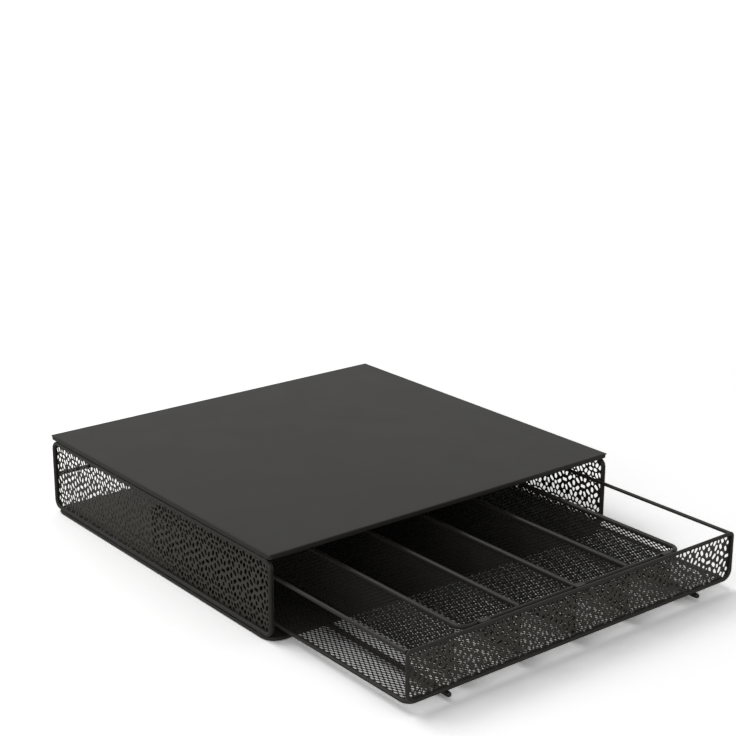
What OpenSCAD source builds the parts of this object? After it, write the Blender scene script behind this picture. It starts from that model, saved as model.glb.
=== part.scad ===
// Countertop coffee pod drawer: a wire-framed drawer with a mesh floor slides in a low
// steel housing whose flat top carries the coffee maker. Millimetres, +Z up, the drawer
// pulls out towards -Y. Origin: on the counter, under the middle of the whole footprint.

/* [Housing] */
// Width of the housing, side to side
housing_w = 345; // [300:1:420]
// Depth of the housing, front to back
housing_d = 327; // [290:1:380]
// Height from the counter to the top of the platform
housing_h = 70; // [62:0.5:110]
// How far the drawer stands open
drawer_out = 144.5; // [0:0.5:240]

/* [Top and base sheets] */
// Thickness of the top and base sheets
sheet_t = 1; // [0.8:0.1:1.6]
// Thickness of the folded-back hem that edges both sheets
hem_t = 1.8; // [1.6:0.1:2.4]
// Radius of the hem's upper outer edge
hem_edge_r = 0.8; // [0.4:0.1:1.2]
// Depth of the hem below the top sheet
top_hem_h = 4; // [3:0.5:8]
// Corner radius of the top sheet, seen from above
top_corner_r = 3; // [2.5:0.5:14]
// Depth of the hem below the base sheet
base_hem_h = 2.6; // [2.6:0.1:8]
// Corner radius of the base sheet, seen from above
base_corner_r = 13; // [3:0.5:18]

/* [Feet] */
// Radius of a rubber foot
foot_r = 6; // [4:0.5:10]
// How far the feet hold the base hem off the counter
foot_proud = 0.4; // [0.2:0.1:4]
// Distance from the base's edges to the centre of a foot
foot_inset = 24; // [12:1:40]

/* [Side frames] */
// Wire thickness of the side frames and the back rail
frame_wire_d = 3.5; // [3:0.1:6]
// Outside radius of the frame's corners
frame_corner_r = 8; // [4:0.5:14]
// How far the frames stand inside the edge of the top sheet
frame_inset = 0; // [0:0.1:4]
// Slit between the top hem and the frame
top_slit = 0.6; // [0.4:0.1:3]
// Slit between the base sheet and the frame
base_slit = 0.5; // [0.3:0.1:5]
// Height of the back rail's centre above the counter
back_rail_z = 34; // [20:0.5:50]
// Length of a spacer weld in the slits
weld_l = 8; // [4:0.5:12]
// Width of a spacer weld
weld_w = 2.6; // [1.5:0.1:3]
// Distance from the frame's ends to the end welds
weld_end = 17; // [10:0.5:40]
// Distance from the frame's middle to the inner welds
weld_mid = 56; // [30:1:90]

/* [Perforated sheet] */
// Thickness of the perforated sheet
panel_t = 0.8; // [0.5:0.1:1.2]
// Width of the leaf pattern's repeat
pattern_w = 21.7; // [18:0.1:30]
// Height of the front sheet's middle row of leaves above the drawer's floor
front_row_h = 18; // [6:0.1:30]
// Plain border round the perforations
petal_border = 0.8; // [0.5:0.1:2]
// How far the side sheets reach past the middle of the frame's wire
panel_lap = 0.8; // [0.4:0.1:1.2]

/* [Drawer] */
// Height of the drawer's end frames
drawer_h = 40.2; // [34:0.1:46]
// Gap between the drawer and each side panel
side_gap = 3.9; // [1:0.1:6]
// Gap between the closed drawer and the back rail
back_gap = 1.9; // [0.4:0.1:4]
// Wire thickness of the end frames
end_d = 3; // [2.6:0.1:4]
// Outside radius of the end frames' lower corners, seen from the front
end_corner_r = 9; // [7:0.5:16]
// Outside radius of their upper corners
end_top_corner_r = 3.8; // [3.7:0.1:8]
// How far the end sheets reach past the middle of the end frame's wire
end_lap = 0.2; // [0.1:0.05:0.25]
// Wire thickness of the top and floor rails
rail_d = 3; // [2.6:0.1:3.4]
// Where a top rail meets the end frame's corner, in degrees up from its side
rail_turn = 43; // [20:1:60]
// Outside corner radius of the floor rail, seen from above
rail_corner_r = 8; // [6:0.5:16]
// How far the floor rail stands inside the end frame's sides
floor_inset = 2.3; // [0.5:0.1:6]
// How far the floor rail hangs below the end frame's lower run
floor_drop = 1.8; // [1.6:0.1:2]
// Thickness of the fine mesh
mesh_t = 0.8; // [0.5:0.1:1]
// Rows of openings from the front of the floor mesh to its back
floor_rows = 12; // [8:1:12]
// Width of the strands between the floor mesh's openings
floor_strand = 4; // [3:0.5:6]
// Plain border round the floor mesh's openings
floor_border = 4; // [3:0.5:8]

/* [Runners] */
// Thickness of the two runner rods
runner_d = 4.2; // [3:0.1:7]
// Distance from the drawer's side to the centre of a runner
runner_inset = 38.3; // [24:0.1:60]
// Sliding gap between the runners and the base sheet
slide_gap = 0.4; // [0.3:0.05:0.8]
// Gap between a runner and the keeper that holds it down
keeper_gap = 0.3; // [0.25:0.05:0.6]
// Thickness of the keeper's sheet
keeper_t = 0.6; // [0.5:0.1:0.8]
// Length of a keeper along the runner
keeper_l = 12; // [8:1:24]
// Width of each of the keeper's welded flanges
keeper_flange = 6; // [4:0.5:10]
// Distance from the housing's front edge to a keeper
keeper_setback = 52.5; // [30:0.5:90]

/* [Dividers] */
// Wire thickness of the dividers
divider_d = 3.6; // [2.5:0.1:4]
// Gap between the front or back sheet and the divider ring
ring_gap = 2.4; // [0.5:0.1:6]
// Corner radius of the divider ring, to the middle of its wire
ring_corner_r = 8; // [5:0.5:14]
// Width of a tab between the end frame and the divider ring
tab_w = 9; // [5:0.5:14]
// Thickness of the tabs
tab_t = 1.2; // [0.8:0.1:1.6]
// Distance from the ring's side to the centre of an outer tab
tab_inset = 17.5; // [14:0.5:50]

/* [Hidden] */
$fn = 48;
petal_fn = 24;
// Pod lanes across the drawer: the five divider meshes below stand between six lanes
lanes = 6;

// The housing is drawn about its own footprint, and the drawer as if it were shut in it
housing_y = drawer_out / 2;
drawer_y = -drawer_out / 2;

// Heights of the housing
base_top = foot_proud + base_hem_h;
frame_bottom = base_top + base_slit;
frame_top = housing_h - top_hem_h - top_slit;
frame_line_r = frame_corner_r - frame_wire_d / 2;
frame_line_w = housing_d - 2 * frame_inset - frame_wire_d;
frame_line_h = frame_top - frame_bottom - frame_wire_d;
frame_mid_z = (frame_top + frame_bottom) / 2;
frame_x = housing_w / 2 - frame_inset - frame_wire_d / 2;
side_panel_x = frame_x - frame_wire_d / 2 - panel_t;
back_rail_y = frame_line_w / 2;

// The drawer in its shut place
drawer_w = 2 * (side_panel_x - side_gap);
drawer_front = -housing_d / 2;
drawer_back = back_rail_y - frame_wire_d / 2 - back_gap;
drawer_d = drawer_back - drawer_front;
drawer_mid_y = (drawer_back + drawer_front) / 2;
runner_x = drawer_w / 2 - runner_inset;
runner_z = base_top + slide_gap + runner_d / 2;
floor_rail_z = runner_z + (runner_d + rail_d) / 2;
mesh_top = floor_rail_z + mesh_t;

// Its end frames, sized along the middle of the wire
end_line_w = drawer_w - end_d;
end_line_h = drawer_h - end_d;
end_line_r = end_corner_r - end_d / 2;
end_top_line_r = end_top_corner_r - end_d / 2;
end_low_z = floor_rail_z + floor_drop;
end_high_z = end_low_z + end_line_h;
end_mid_z = (end_low_z + end_high_z) / 2;

// The top rails meet the end frames' corners, and the floor rail rests against their lower runs
top_rail_x = end_line_w / 2 - end_top_line_r * (1 - cos(rail_turn));
top_rail_z = end_high_z - end_top_line_r * (1 - sin(rail_turn));
floor_step = sqrt(pow((end_d + rail_d) / 2, 2) - pow(floor_drop, 2));
floor_line_w = drawer_w - 2 * floor_inset - rail_d;
floor_line_d = drawer_d - end_d - 2 * floor_step;
floor_line_r = rail_corner_r - rail_d / 2;

// The dividers hang so that the tabs lie just over the end sheets
ring_z = end_high_z + end_lap - divider_d / 2;
ring_inset = end_d + panel_t + ring_gap + divider_d / 2;
ring_line_d = drawer_d - 2 * ring_inset;
lane_pitch = drawer_w / lanes;
ring_line_w = (lanes - 2) * lane_pitch;
tab_x = ring_line_w / 2 - tab_inset;

// Colours of the finishes
sheet_black = "#3a3936";
wire_black = "#42413d";
mesh_black = "#35342f";
rubber_black = "#1c1c1c";

// A rectangle with round corners, centred. The two corners at +Y can have a radius of their
// own.
module rounded_rect(w, d, r, far_r = 0) {
  far = far_r > 0 ? far_r : r;
  translate([0, (r - far) / 2]) square([w, d - r - far], center = true);
  for (y = [-1, 1]) {
    q = y > 0 ? far : r;
    translate([0, y * (d / 2 - q)]) square([w - 2 * q, 2 * q], center = true);
    for (x = [-1, 1]) translate([x * (w / 2 - q), y * (d / 2 - q)]) circle(q);
  }
}

// Straight round wire along X, centred
module wire(d, l) {
  rotate([0, 90, 0]) cylinder(d = d, h = l, center = true);
}

// Closed loop of round wire in the XY plane, sized along the middle of the wire. The two
// corners at +Y can have a radius of their own.
module wire_loop(w, d, r, wire_d, far_r = 0) {
  far = far_r > 0 ? far_r : r;
  translate([0, -d / 2, 0]) wire(wire_d, w - 2 * r);
  translate([0, d / 2, 0]) wire(wire_d, w - 2 * far);
  for (x = [-1, 1])
    translate([x * w / 2, (r - far) / 2, 0]) rotate([0, 0, 90]) wire(wire_d, d - r - far);
  for (turn = [0 : 3]) {
    x = (turn == 0 || turn == 3) ? 1 : -1;
    y = turn < 2 ? 1 : -1;
    q = turn < 2 ? far : r;
    translate([x * (w / 2 - q), y * (d / 2 - q), 0])
      rotate([0, 0, 90 * turn])
        rotate_extrude(angle = 90) translate([q, 0]) circle(d = wire_d);
  }
}

// Section of a hem: outer face at x = 0, top at y = 0, round outer edge and round fold
module hem_section(h) {
  fold_r = hem_t / 2;
  translate([-hem_t, fold_r - h]) square([hem_t, h - fold_r - hem_edge_r]);
  translate([-hem_t, -hem_edge_r]) square([hem_t - hem_edge_r, hem_edge_r]);
  translate([-hem_edge_r, -hem_edge_r]) circle(hem_edge_r);
  translate([-fold_r, fold_r - h]) circle(fold_r);
}

// Flat sheet with a hem turned down all round, its top at z = 0
module hemmed_sheet(w, d, r, h) {
  translate([0, 0, -sheet_t])
    linear_extrude(sheet_t)
      rounded_rect(w - 2 * hem_edge_r, d - 2 * hem_edge_r, r - hem_edge_r);
  for (y = [0, 1])
    rotate([0, 0, 180 * y])
      translate([-(w / 2 - r), -d / 2, 0])
        rotate([90, 0, 90]) mirror([1, 0, 0]) linear_extrude(w - 2 * r) hem_section(h);
  for (x = [0, 1])
    rotate([0, 0, 180 * x])
      translate([w / 2, d / 2 - r, 0])
        rotate([90, 0, 0]) linear_extrude(d - 2 * r) hem_section(h);
  for (turn = [0 : 3]) {
    x = (turn == 0 || turn == 3) ? 1 : -1;
    y = turn < 2 ? 1 : -1;
    translate([x * (w / 2 - r), y * (d / 2 - r), 0])
      rotate([0, 0, 90 * turn])
        rotate_extrude(angle = 90) translate([r, 0]) hem_section(h);
  }
}

// One leaf-shaped perforation: where two equal arcs overlap
module petal(l, w) {
  arc_r = (l * l + w * w) / (4 * w);
  intersection() {
    translate([0, arc_r - w / 2]) circle(arc_r, $fn = petal_fn);
    translate([0, w / 2 - arc_r]) circle(arc_r, $fn = petal_fn);
  }
}

// The leaves in one quarter of the repeat, from the middle of a flower outwards. Each is
// [across, up, turn, length, width], and all but the turn are shares of the repeat's width.
quarter = [
  [0, 0, 90, 0.194, 0.129],
  [0, 0.267, 90, 0.129, 0.111],
  [0.12, 0.452, 115, 0.212, 0.12],
  [0, 0.673, 90, 0.138, 0.088],
  [0.203, 0.654, 122, 0.194, 0.12],
  [0.12, 0.866, 0, 0.184, 0.12],
  [0.5, 0, 0, 0.221, 0.111],
  [0.396, 0.304, 110, 0.203, 0.106],
  [0.5, 0.507, 90, 0.129, 0.111],
  [0.373, 0.71, 125, 0.194, 0.111],
  [0.5, 0.866, 0, 0.138, 0.12],
  [0.212, 0.157, 137, 0.221, 0.12]
];

// Leaves over a window of w by h with corners of radius r, or far_r for the two upper ones. Its
// middle lies row_up above a row of flower middles. The quarter is mirrored both ways, and
// leaves on the window's edge are cut off by it.
module petals(w, h, r, row_up = 0, far_r = 0) {
  repeat_h = pattern_w * sqrt(3);
  columns = ceil(w / 2 / pattern_w);
  rows = ceil((h / 2 + abs(row_up)) / repeat_h);
  for (i = [-columns : columns], j = [-rows : rows], leaf = quarter)
    for (mx = leaf.x == 0 || leaf.x == 0.5 ? [1] : [-1, 1])
      for (my = leaf.y == 0 || leaf.y == 0.866 ? [1] : [-1, 1]) {
        x = pattern_w * (i + mx * leaf.x);
        y = repeat_h * j + my * pattern_w * leaf.y - row_up;
        l = pattern_w * leaf[3];
        b = pattern_w * leaf[4];
        reach_x = (l * abs(cos(leaf.z)) + b * abs(sin(leaf.z))) / 2;
        reach_y = (l * abs(sin(leaf.z)) + b * abs(cos(leaf.z))) / 2;
        over_x = abs(x) + reach_x - w / 2;
        over_y = abs(y) + reach_y - h / 2;
        q = y > 0 && far_r > 0 ? far_r : r;
        whole = max(over_x, over_y) < 0 && min(over_x, over_y) < -q;
        outside = max(over_x - 1.5 * reach_x, over_y - 1.5 * reach_y) > 0
          || min(over_x - reach_x, over_y - reach_y) > -q / 2;
        if (whole) translate([x, y]) rotate(mx * my * leaf.z) petal(l, b);
        else if (!outside)
          intersection() {
            rounded_rect(w, h, r, far_r);
            translate([x, y]) rotate(mx * my * leaf.z) petal(l, b);
          }
      }
}

// Housing pieces

module top_panel() {
  color(sheet_black)
    translate([0, housing_y, housing_h])
      hemmed_sheet(housing_w, housing_d, top_corner_r, top_hem_h);
}

module base_pan() {
  color(sheet_black)
    translate([0, housing_y, base_top])
      hemmed_sheet(housing_w, housing_d, base_corner_r, base_hem_h);
}

module side_frame(side) {
  color(wire_black)
    translate([side * frame_x, housing_y, frame_mid_z])
      rotate([90, 0, 90])
        wire_loop(frame_line_w, frame_line_h, frame_line_r, frame_wire_d);
}

module side_panel(side) {
  color(wire_black)
    translate([side * (side_panel_x + panel_t / 2), housing_y, frame_mid_z])
      rotate([90, 0, 90])
        linear_extrude(panel_t, center = true)
          difference() {
            rounded_rect(
              frame_line_w + 2 * panel_lap, frame_line_h + 2 * panel_lap, frame_line_r + panel_lap
            );
            petals(
              frame_line_w - 2 * petal_border,
              frame_line_h - 2 * petal_border,
              frame_line_r - petal_border
            );
          }
}

module back_rail() {
  color(wire_black)
    translate([0, housing_y + back_rail_y, back_rail_z])
      wire(frame_wire_d, 2 * side_panel_x);
}

// A row of four small welds along each side frame
module spacer_welds(z, gap) {
  places = [-1, 1] * (housing_d / 2 - weld_end);
  for (x = [-1, 1], y = concat(places, [-weld_mid, weld_mid]))
    translate([x * frame_x, housing_y + y, z])
      cube([weld_w, weld_l, gap], center = true);
}

module top_spacer_welds() {
  color(wire_black) spacer_welds(frame_top + top_slit / 2, top_slit);
}

module base_spacer_welds() {
  color(wire_black) spacer_welds(base_top + base_slit / 2, base_slit);
}

module rubber_feet() {
  color(rubber_black)
    for (x = [-1, 1], y = [-1, 1])
      translate([
        x * (housing_w / 2 - foot_inset),
        housing_y + y * (housing_d / 2 - foot_inset),
        0
      ])
        cylinder(r = foot_r, h = base_top - sheet_t);
}

// Sheet clip welded to the base. Its arch holds the runner down and stops the drawer.
module runner_keeper(side) {
  slot = runner_d + 2 * keeper_gap;
  arch_top = runner_z + runner_d / 2 + keeper_gap + keeper_t - base_top;
  color(sheet_black)
    translate([side * runner_x, housing_y - housing_d / 2 + keeper_setback + keeper_l, base_top])
      rotate([90, 0, 0])
        linear_extrude(keeper_l)
          difference() {
            union() {
              translate([-slot / 2 - keeper_t, 0]) square([slot + 2 * keeper_t, arch_top]);
              translate([-slot / 2 - keeper_flange, 0])
                square([slot + 2 * keeper_flange, keeper_t]);
            }
            translate([-slot / 2, -1]) square([slot, arch_top - keeper_t + 1]);
          }
}

// Drawer pieces

// Upright wire frame at the drawer's front or back, with wide bends below and tight ones above
module end_frame(end) {
  color(wire_black)
    translate([0, drawer_y + drawer_mid_y + end * (drawer_d - end_d) / 2, end_mid_z])
      rotate([90, 0, 0])
        wire_loop(end_line_w, end_line_h, end_line_r, end_d, end_top_line_r);
}

module top_rail(side) {
  front = drawer_front + end_d + panel_t;
  back = drawer_back - end_d - mesh_t;
  color(wire_black)
    translate([side * top_rail_x, drawer_y + (front + back) / 2, top_rail_z])
      rotate([0, 0, 90]) wire(rail_d, back - front);
}

module floor_rail() {
  color(wire_black)
    translate([0, drawer_y + drawer_mid_y, floor_rail_z])
      wire_loop(floor_line_w, floor_line_d, floor_line_r, rail_d);
}

// Outline of the sheets that close the end frames
module end_sheet_shape() {
  rounded_rect(
    end_line_w + 2 * end_lap, end_line_h + 2 * end_lap,
    end_line_r + end_lap, end_top_line_r + end_lap
  );
}

module front_panel() {
  color(wire_black)
    translate([0, drawer_y + drawer_front + end_d + panel_t / 2, end_mid_z])
      rotate([90, 0, 0])
        linear_extrude(panel_t, center = true)
          difference() {
            end_sheet_shape();
            petals(
              end_line_w - 2 * petal_border,
              end_line_h - 2 * petal_border,
              end_line_r - petal_border,
              end_mid_z - mesh_top - front_row_h,
              end_top_line_r - petal_border
            );
          }
}

module back_mesh() {
  color(mesh_black)
    translate([0, drawer_y + drawer_back - end_d - mesh_t / 2, end_mid_z])
      rotate([90, 0, 0]) linear_extrude(mesh_t, center = true) end_sheet_shape();
}

// Its openings stand two to a lane, so that each divider mesh has a strand under it
module floor_mesh() {
  w = floor_line_w - rail_d;
  d = floor_line_d - rail_d;
  column = lane_pitch / 2;
  row = (d - 2 * floor_border + floor_strand) / floor_rows;
  color(mesh_black)
    translate([0, drawer_y + drawer_mid_y, floor_rail_z])
      linear_extrude(mesh_t)
        difference() {
          rounded_rect(w, d, floor_line_r - rail_d / 2);
          intersection() {
            square([w - 2 * floor_border, d], center = true);
            for (i = [0.5 - lanes : lanes - 0.5], j = [1 : floor_rows])
              translate([i * column, (j - (floor_rows + 1) / 2) * row])
                square([column - floor_strand, row - floor_strand], center = true);
          }
        }
}

// Rod under the floor with a round nose at the front
module runner(side) {
  nose = runner_d / 2;
  color(wire_black)
    translate([side * runner_x, drawer_y + drawer_front + nose, runner_z]) {
      rotate([-90, 0, 0]) cylinder(d = runner_d, h = drawer_d - nose);
      sphere(d = runner_d);
    }
}

module divider_ring() {
  color(wire_black)
    translate([0, drawer_y + drawer_mid_y, ring_z])
      wire_loop(ring_line_w, ring_line_d, ring_corner_r, divider_d);
}

module divider_wire(lane_line) {
  color(wire_black)
    translate([lane_line * lane_pitch, drawer_y + drawer_mid_y, ring_z])
      rotate([0, 0, 90]) wire(divider_d, ring_line_d - divider_d);
}

module divider_mesh(lane_line) {
  at_ring = abs(lane_line) == lanes / 2 - 1;
  l = ring_line_d - (at_ring ? 2 * ring_corner_r : 0);
  color(mesh_black)
    translate([lane_line * lane_pitch, drawer_y + drawer_mid_y, mesh_top])
      translate([-mesh_t / 2, -l / 2, 0])
        cube([mesh_t, l, ring_z - divider_d / 2 - mesh_top]);
}

// Small plates that lie on the ring and butt against the end frame, three at each end
module divider_tabs() {
  reach = ring_inset - end_d;
  color(wire_black)
    for (end = [-1, 1], x = [-1 : 1])
      translate([
        x * tab_x,
        drawer_y + drawer_mid_y + end * (drawer_d / 2 - end_d - reach / 2),
        end_high_z + end_lap + tab_t / 2
      ])
        cube([tab_w, reach, tab_t], center = true);
}

top_panel();
base_pan();
side_frame(-1);  // left_side_frame
side_frame(1);  // right_side_frame
side_panel(-1);  // left_side_panel
side_panel(1);  // right_side_panel
back_rail();
top_spacer_welds();
base_spacer_welds();
rubber_feet();
runner_keeper(-1);  // left_runner_keeper
runner_keeper(1);  // right_runner_keeper
end_frame(-1);  // front_frame
end_frame(1);  // back_frame
top_rail(-1);  // left_top_rail
top_rail(1);  // right_top_rail
floor_rail();
front_panel();
back_mesh();
floor_mesh();
runner(-1);  // left_runner
runner(1);  // right_runner
divider_ring();
divider_wire(-1);  // left_divider_wire
divider_wire(0);  // middle_divider_wire
divider_wire(1);  // right_divider_wire
divider_mesh(-2);  // far_left_divider_mesh
divider_mesh(-1);  // left_divider_mesh
divider_mesh(0);  // middle_divider_mesh
divider_mesh(1);  // right_divider_mesh
divider_mesh(2);  // far_right_divider_mesh
divider_tabs();
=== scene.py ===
import math

import bpy
from mathutils import Matrix, Vector


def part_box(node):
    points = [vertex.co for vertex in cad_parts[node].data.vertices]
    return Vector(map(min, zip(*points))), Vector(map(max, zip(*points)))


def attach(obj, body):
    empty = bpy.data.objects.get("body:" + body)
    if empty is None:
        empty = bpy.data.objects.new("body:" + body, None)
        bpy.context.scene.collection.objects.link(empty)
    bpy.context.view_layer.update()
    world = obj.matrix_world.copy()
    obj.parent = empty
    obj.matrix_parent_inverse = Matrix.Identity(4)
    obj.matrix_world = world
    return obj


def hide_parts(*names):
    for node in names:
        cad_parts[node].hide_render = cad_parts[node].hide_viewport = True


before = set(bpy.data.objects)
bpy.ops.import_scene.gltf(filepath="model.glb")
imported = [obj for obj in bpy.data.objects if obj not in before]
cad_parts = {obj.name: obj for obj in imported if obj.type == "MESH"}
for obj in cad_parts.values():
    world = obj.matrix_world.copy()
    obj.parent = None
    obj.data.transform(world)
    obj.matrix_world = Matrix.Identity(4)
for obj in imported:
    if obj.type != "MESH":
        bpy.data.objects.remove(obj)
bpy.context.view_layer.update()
mm = 0.001
xAxis, yAxis, zAxis = Vector((1, 0, 0)), Vector((0, 1, 0)), Vector((0, 0, 1))
quarterTurn = math.pi / 2

# Sizes in the dictionaries are in millimetres unless a note says otherwise


# A hex colour as the linear values that a socket takes
def colour(hexText):
    parts = [int(hexText[i : i + 2], 16) / 255 for i in (1, 3, 5)]
    linear = [p / 12.92 if p < 0.04045 else ((p + 0.055) / 1.055) ** 2.4 for p in parts]
    return (*linear, 1.0)


# Adds a node with its settings. A node or socket given for an input is linked to it, and a list
# links each of its sockets
def addNode(tree, kind, inputs=None, **settings):
    node = tree.nodes.new(kind)
    for name, value in settings.items():
        setattr(node, name, value)
    for key, value in (inputs or {}).items():
        for one in value if isinstance(value, list) else [value]:
            if isinstance(one, bpy.types.Node):
                one = one.outputs[0]
            if isinstance(one, bpy.types.NodeSocket):
                tree.links.new(one, node.inputs[key])
            else:
                node.inputs[key].default_value = one
    return node


def emptyTree(owner):
    owner.use_nodes = True
    owner.node_tree.nodes.clear()
    return owner.node_tree


# Finishes

powder = {
    "patchesPerMetre": 26.0,  # thicker and thinner patches of coat, 38 mm across
    "pitsPerMetre": 620.0,  # orange peel, 1.6 mm from pit to pit
    "pitDepth": 0.06,
    "speckInColour": 0.45,
    "speckInHeight": 0.35,
    "shadeRange": (0.45, 1.05),
    "patchRange": (0.3, 0.7),
    "glossier": 0.02,
    "rougher": 0.03,
    "refraction": 1.5,
    "specular": 0.36,
}


# Polyester powder baked on steel: an even film, nearly black, with soft orange peel and a fine
# speckle of grains
def powderCoat(name, base, light, rough, peel, grainsPerMetre):
    material = bpy.data.materials.new(name)
    tree = emptyTree(material)
    place = addNode(tree, "ShaderNodeTexCoord").outputs["Object"]
    patches = addNode(tree, "ShaderNodeTexNoise", {
        "Vector": place, "Scale": powder["patchesPerMetre"], "Detail": 4.0, "Roughness": 0.6,
    })
    speck = addNode(tree, "ShaderNodeTexNoise", {
        "Vector": place, "Scale": grainsPerMetre, "Detail": 2.0, "Roughness": 0.7,
    })
    both = addNode(
        tree, "ShaderNodeMath", {0: speck, 1: powder["speckInColour"], 2: patches},
        operation="MULTIPLY_ADD",
    )
    spread = addNode(tree, "ShaderNodeMapRange", {
        "Value": both, "From Min": powder["shadeRange"][0], "From Max": powder["shadeRange"][1],
        "To Min": 0.0, "To Max": 1.0,
    })
    shade = addNode(
        tree, "ShaderNodeMix", {0: spread, 6: colour(base), 7: colour(light)}, data_type="RGBA"
    )
    roughness = addNode(tree, "ShaderNodeMapRange", {
        "Value": patches, "From Min": powder["patchRange"][0], "From Max": powder["patchRange"][1],
        "To Min": rough - powder["glossier"], "To Max": rough + powder["rougher"],
    })
    pits = addNode(
        tree, "ShaderNodeTexVoronoi",
        {"Vector": place, "Scale": powder["pitsPerMetre"], "Smoothness": 0.9},
        feature="SMOOTH_F1",
    )
    height = addNode(
        tree, "ShaderNodeMath", {0: speck, 1: powder["speckInHeight"], 2: pits},
        operation="MULTIPLY_ADD",
    )
    bump = addNode(tree, "ShaderNodeBump", {
        "Height": height, "Strength": peel, "Distance": powder["pitDepth"] * mm,
    })
    skin = addNode(tree, "ShaderNodeBsdfPrincipled", {
        "Base Color": shade.outputs[2], "Roughness": roughness, "Normal": bump,
        "IOR": powder["refraction"], "Specular IOR Level": powder["specular"],
    })
    addNode(tree, "ShaderNodeOutputMaterial", {"Surface": skin})
    return material


rubber = {
    "dark": "#121212", "light": "#262524", "rough": 0.82,
    "grainsPerMetre": 900.0, "grainDepth": 0.1,
}


# Moulded rubber: black, with a dry matt grain that hardly shines
def rubberFinish(name):
    material = bpy.data.materials.new(name)
    tree = emptyTree(material)
    place = addNode(tree, "ShaderNodeTexCoord").outputs["Object"]
    grain = addNode(
        tree, "ShaderNodeTexNoise",
        {"Vector": place, "Scale": rubber["grainsPerMetre"], "Detail": 3.0},
    )
    shade = addNode(
        tree, "ShaderNodeMix", {0: grain, 6: colour(rubber["dark"]), 7: colour(rubber["light"])},
        data_type="RGBA",
    )
    bump = addNode(tree, "ShaderNodeBump", {
        "Height": grain, "Strength": 0.5, "Distance": rubber["grainDepth"] * mm,
    })
    skin = addNode(tree, "ShaderNodeBsdfPrincipled", {
        "Base Color": shade.outputs[2], "Roughness": rubber["rough"], "Normal": bump,
    })
    addNode(tree, "ShaderNodeOutputMaterial", {"Surface": skin})
    return material


# Satin coat on the flat sheets: a broad dull shine with no clear reflection
platformCoat = powderCoat("satin_platform_coat", "#2b2a27", "#33312d", 0.44, 0.25, 1500.0)
# The same coat on round wire, where it looks glossier and shows a thin line of light
wireCoat = powderCoat("satin_wire_coat", "#2f2e2a", "#373531", 0.36, 0.3, 1800.0)
# The same black coat on perforated sheet, painted paler than the other coats to stand in for the
# light these sheets catch (painted light, not a real difference in the coat)
leafCoatPaintedPaler = powderCoat("perforated_coat_painted_paler", "#413f38", "#4b4840", 0.42, 0.25, 1500.0)
# A thin coat on fine expanded mesh, which keeps the strands dark
meshCoat = powderCoat("fine_mesh_coat", "#2a2926", "#33312d", 0.45, 0.3, 2000.0)
# Coat that ran over rough weld beads, lumpy and dull
weldCoat = powderCoat("coated_weld_bead", "#302f2b", "#3a3834", 0.5, 0.8, 1200.0)
# Matt rubber of the feet
footRubber = rubberFinish("matt_foot_rubber")


# Shapes are a list of points and a list of faces

wire = {
    "sides": 20, "bendSteps": 10, "endRound": 0.35, "railEndRound": 0.2, "roundSteps": 6,
    "noseShare": 0.96,  # how much of its radius a runner's nose is rounded by
    "leastShare": 0.04,
}


def span(node):
    low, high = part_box(node)
    return low, high, (low + high) / 2


# Rectangle with round corners. The two upper corners can have a radius of their own
def roundedPath(halfW, halfH, radius, steps, upperRadius=None):
    points = []
    for turn, (sx, sy) in enumerate(((1, 1), (-1, 1), (-1, -1), (1, -1))):
        bend = upperRadius if upperRadius and sy > 0 else radius
        for k in range(steps + 1):
            a = math.radians(90 * turn + 90 * k / steps)
            x = sx * (halfW - bend) + bend * math.cos(a)
            y = sy * (halfH - bend) + bend * math.sin(a)
            points.append((x, y))
    return points


def joined(shapes):
    points, faces = [], []
    for somePoints, someFaces in shapes:
        base = len(points)
        points += somePoints
        faces += [[base + i for i in face] for face in someFaces]
    return points, faces


def smoothed(data, sharpDegrees):
    data.shade_smooth()
    data.set_sharp_from_angle(angle=math.radians(sharpDegrees))
    return data


def meshFrom(shape, sharpDegrees=38):
    points, faces = shape
    data = bpy.data.meshes.new("shape")
    data.from_pydata([tuple(p) for p in points], [], faces)
    data.validate()
    return smoothed(data, sharpDegrees)


def piece(name, data, material, body, nodes=()):
    data.materials.clear()
    data.materials.append(material)
    made = bpy.data.objects.new(name, data)
    data.name = name
    bpy.context.scene.collection.objects.link(made)
    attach(made, body)
    if nodes:
        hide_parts(*nodes)
    return made


# Closed skin over rings of count points each. inward is for rings that run from the top down
def ringSkin(rings, count, inward=False):
    faces = []
    for i in range(rings - 1):
        a, b = ((i + 1) * count, i * count) if inward else (i * count, (i + 1) * count)
        for k in range(count):
            after = (k + 1) % count
            faces.append([a + k, a + after, b + after, b + k])
    ends = [list(range(count)), [(rings - 1) * count + k for k in range(count)]]
    ends[1 if inward else 0].reverse()
    return faces + ends


def circleAt(centre, radius, first, second):
    turns = [2 * math.pi * k / wire["sides"] for k in range(wire["sides"])]
    return [centre + radius * (math.cos(a) * first + math.sin(a) * second) for a in turns]


# Round wire bent into a closed flat loop that fills its node's box. normal is the box's thin way
def wireLoop(node, normal, corner, steps, upperCorner=None):
    low, high, middle = span(node)
    half = [(high[i] - low[i]) / 2 for i in range(3)]
    thin = [i for i in range(3) if normal[i]][0]
    first, second = [i for i in range(3) if i != thin]
    radius = half[thin]
    path = []
    for a, b in roundedPath(
        half[first] - radius, half[second] - radius, corner * mm - radius, steps,
        upperCorner and upperCorner * mm - radius,
    ):
        spot = middle.copy()
        spot[first] += a
        spot[second] += b
        path.append(spot)
    points, faces = [], []
    sides, count = wire["sides"], len(path)
    for i, spot in enumerate(path):
        along = (path[(i + 1) % count] - path[i - 1]).normalized()
        points += circleAt(spot, radius, normal, normal.cross(along).normalized())
        a, b = i * sides, (i + 1) % count * sides
        for k in range(sides):
            after = (k + 1) % sides
            faces.append([a + k, b + k, b + after, a + after])
    return points, faces


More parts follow.
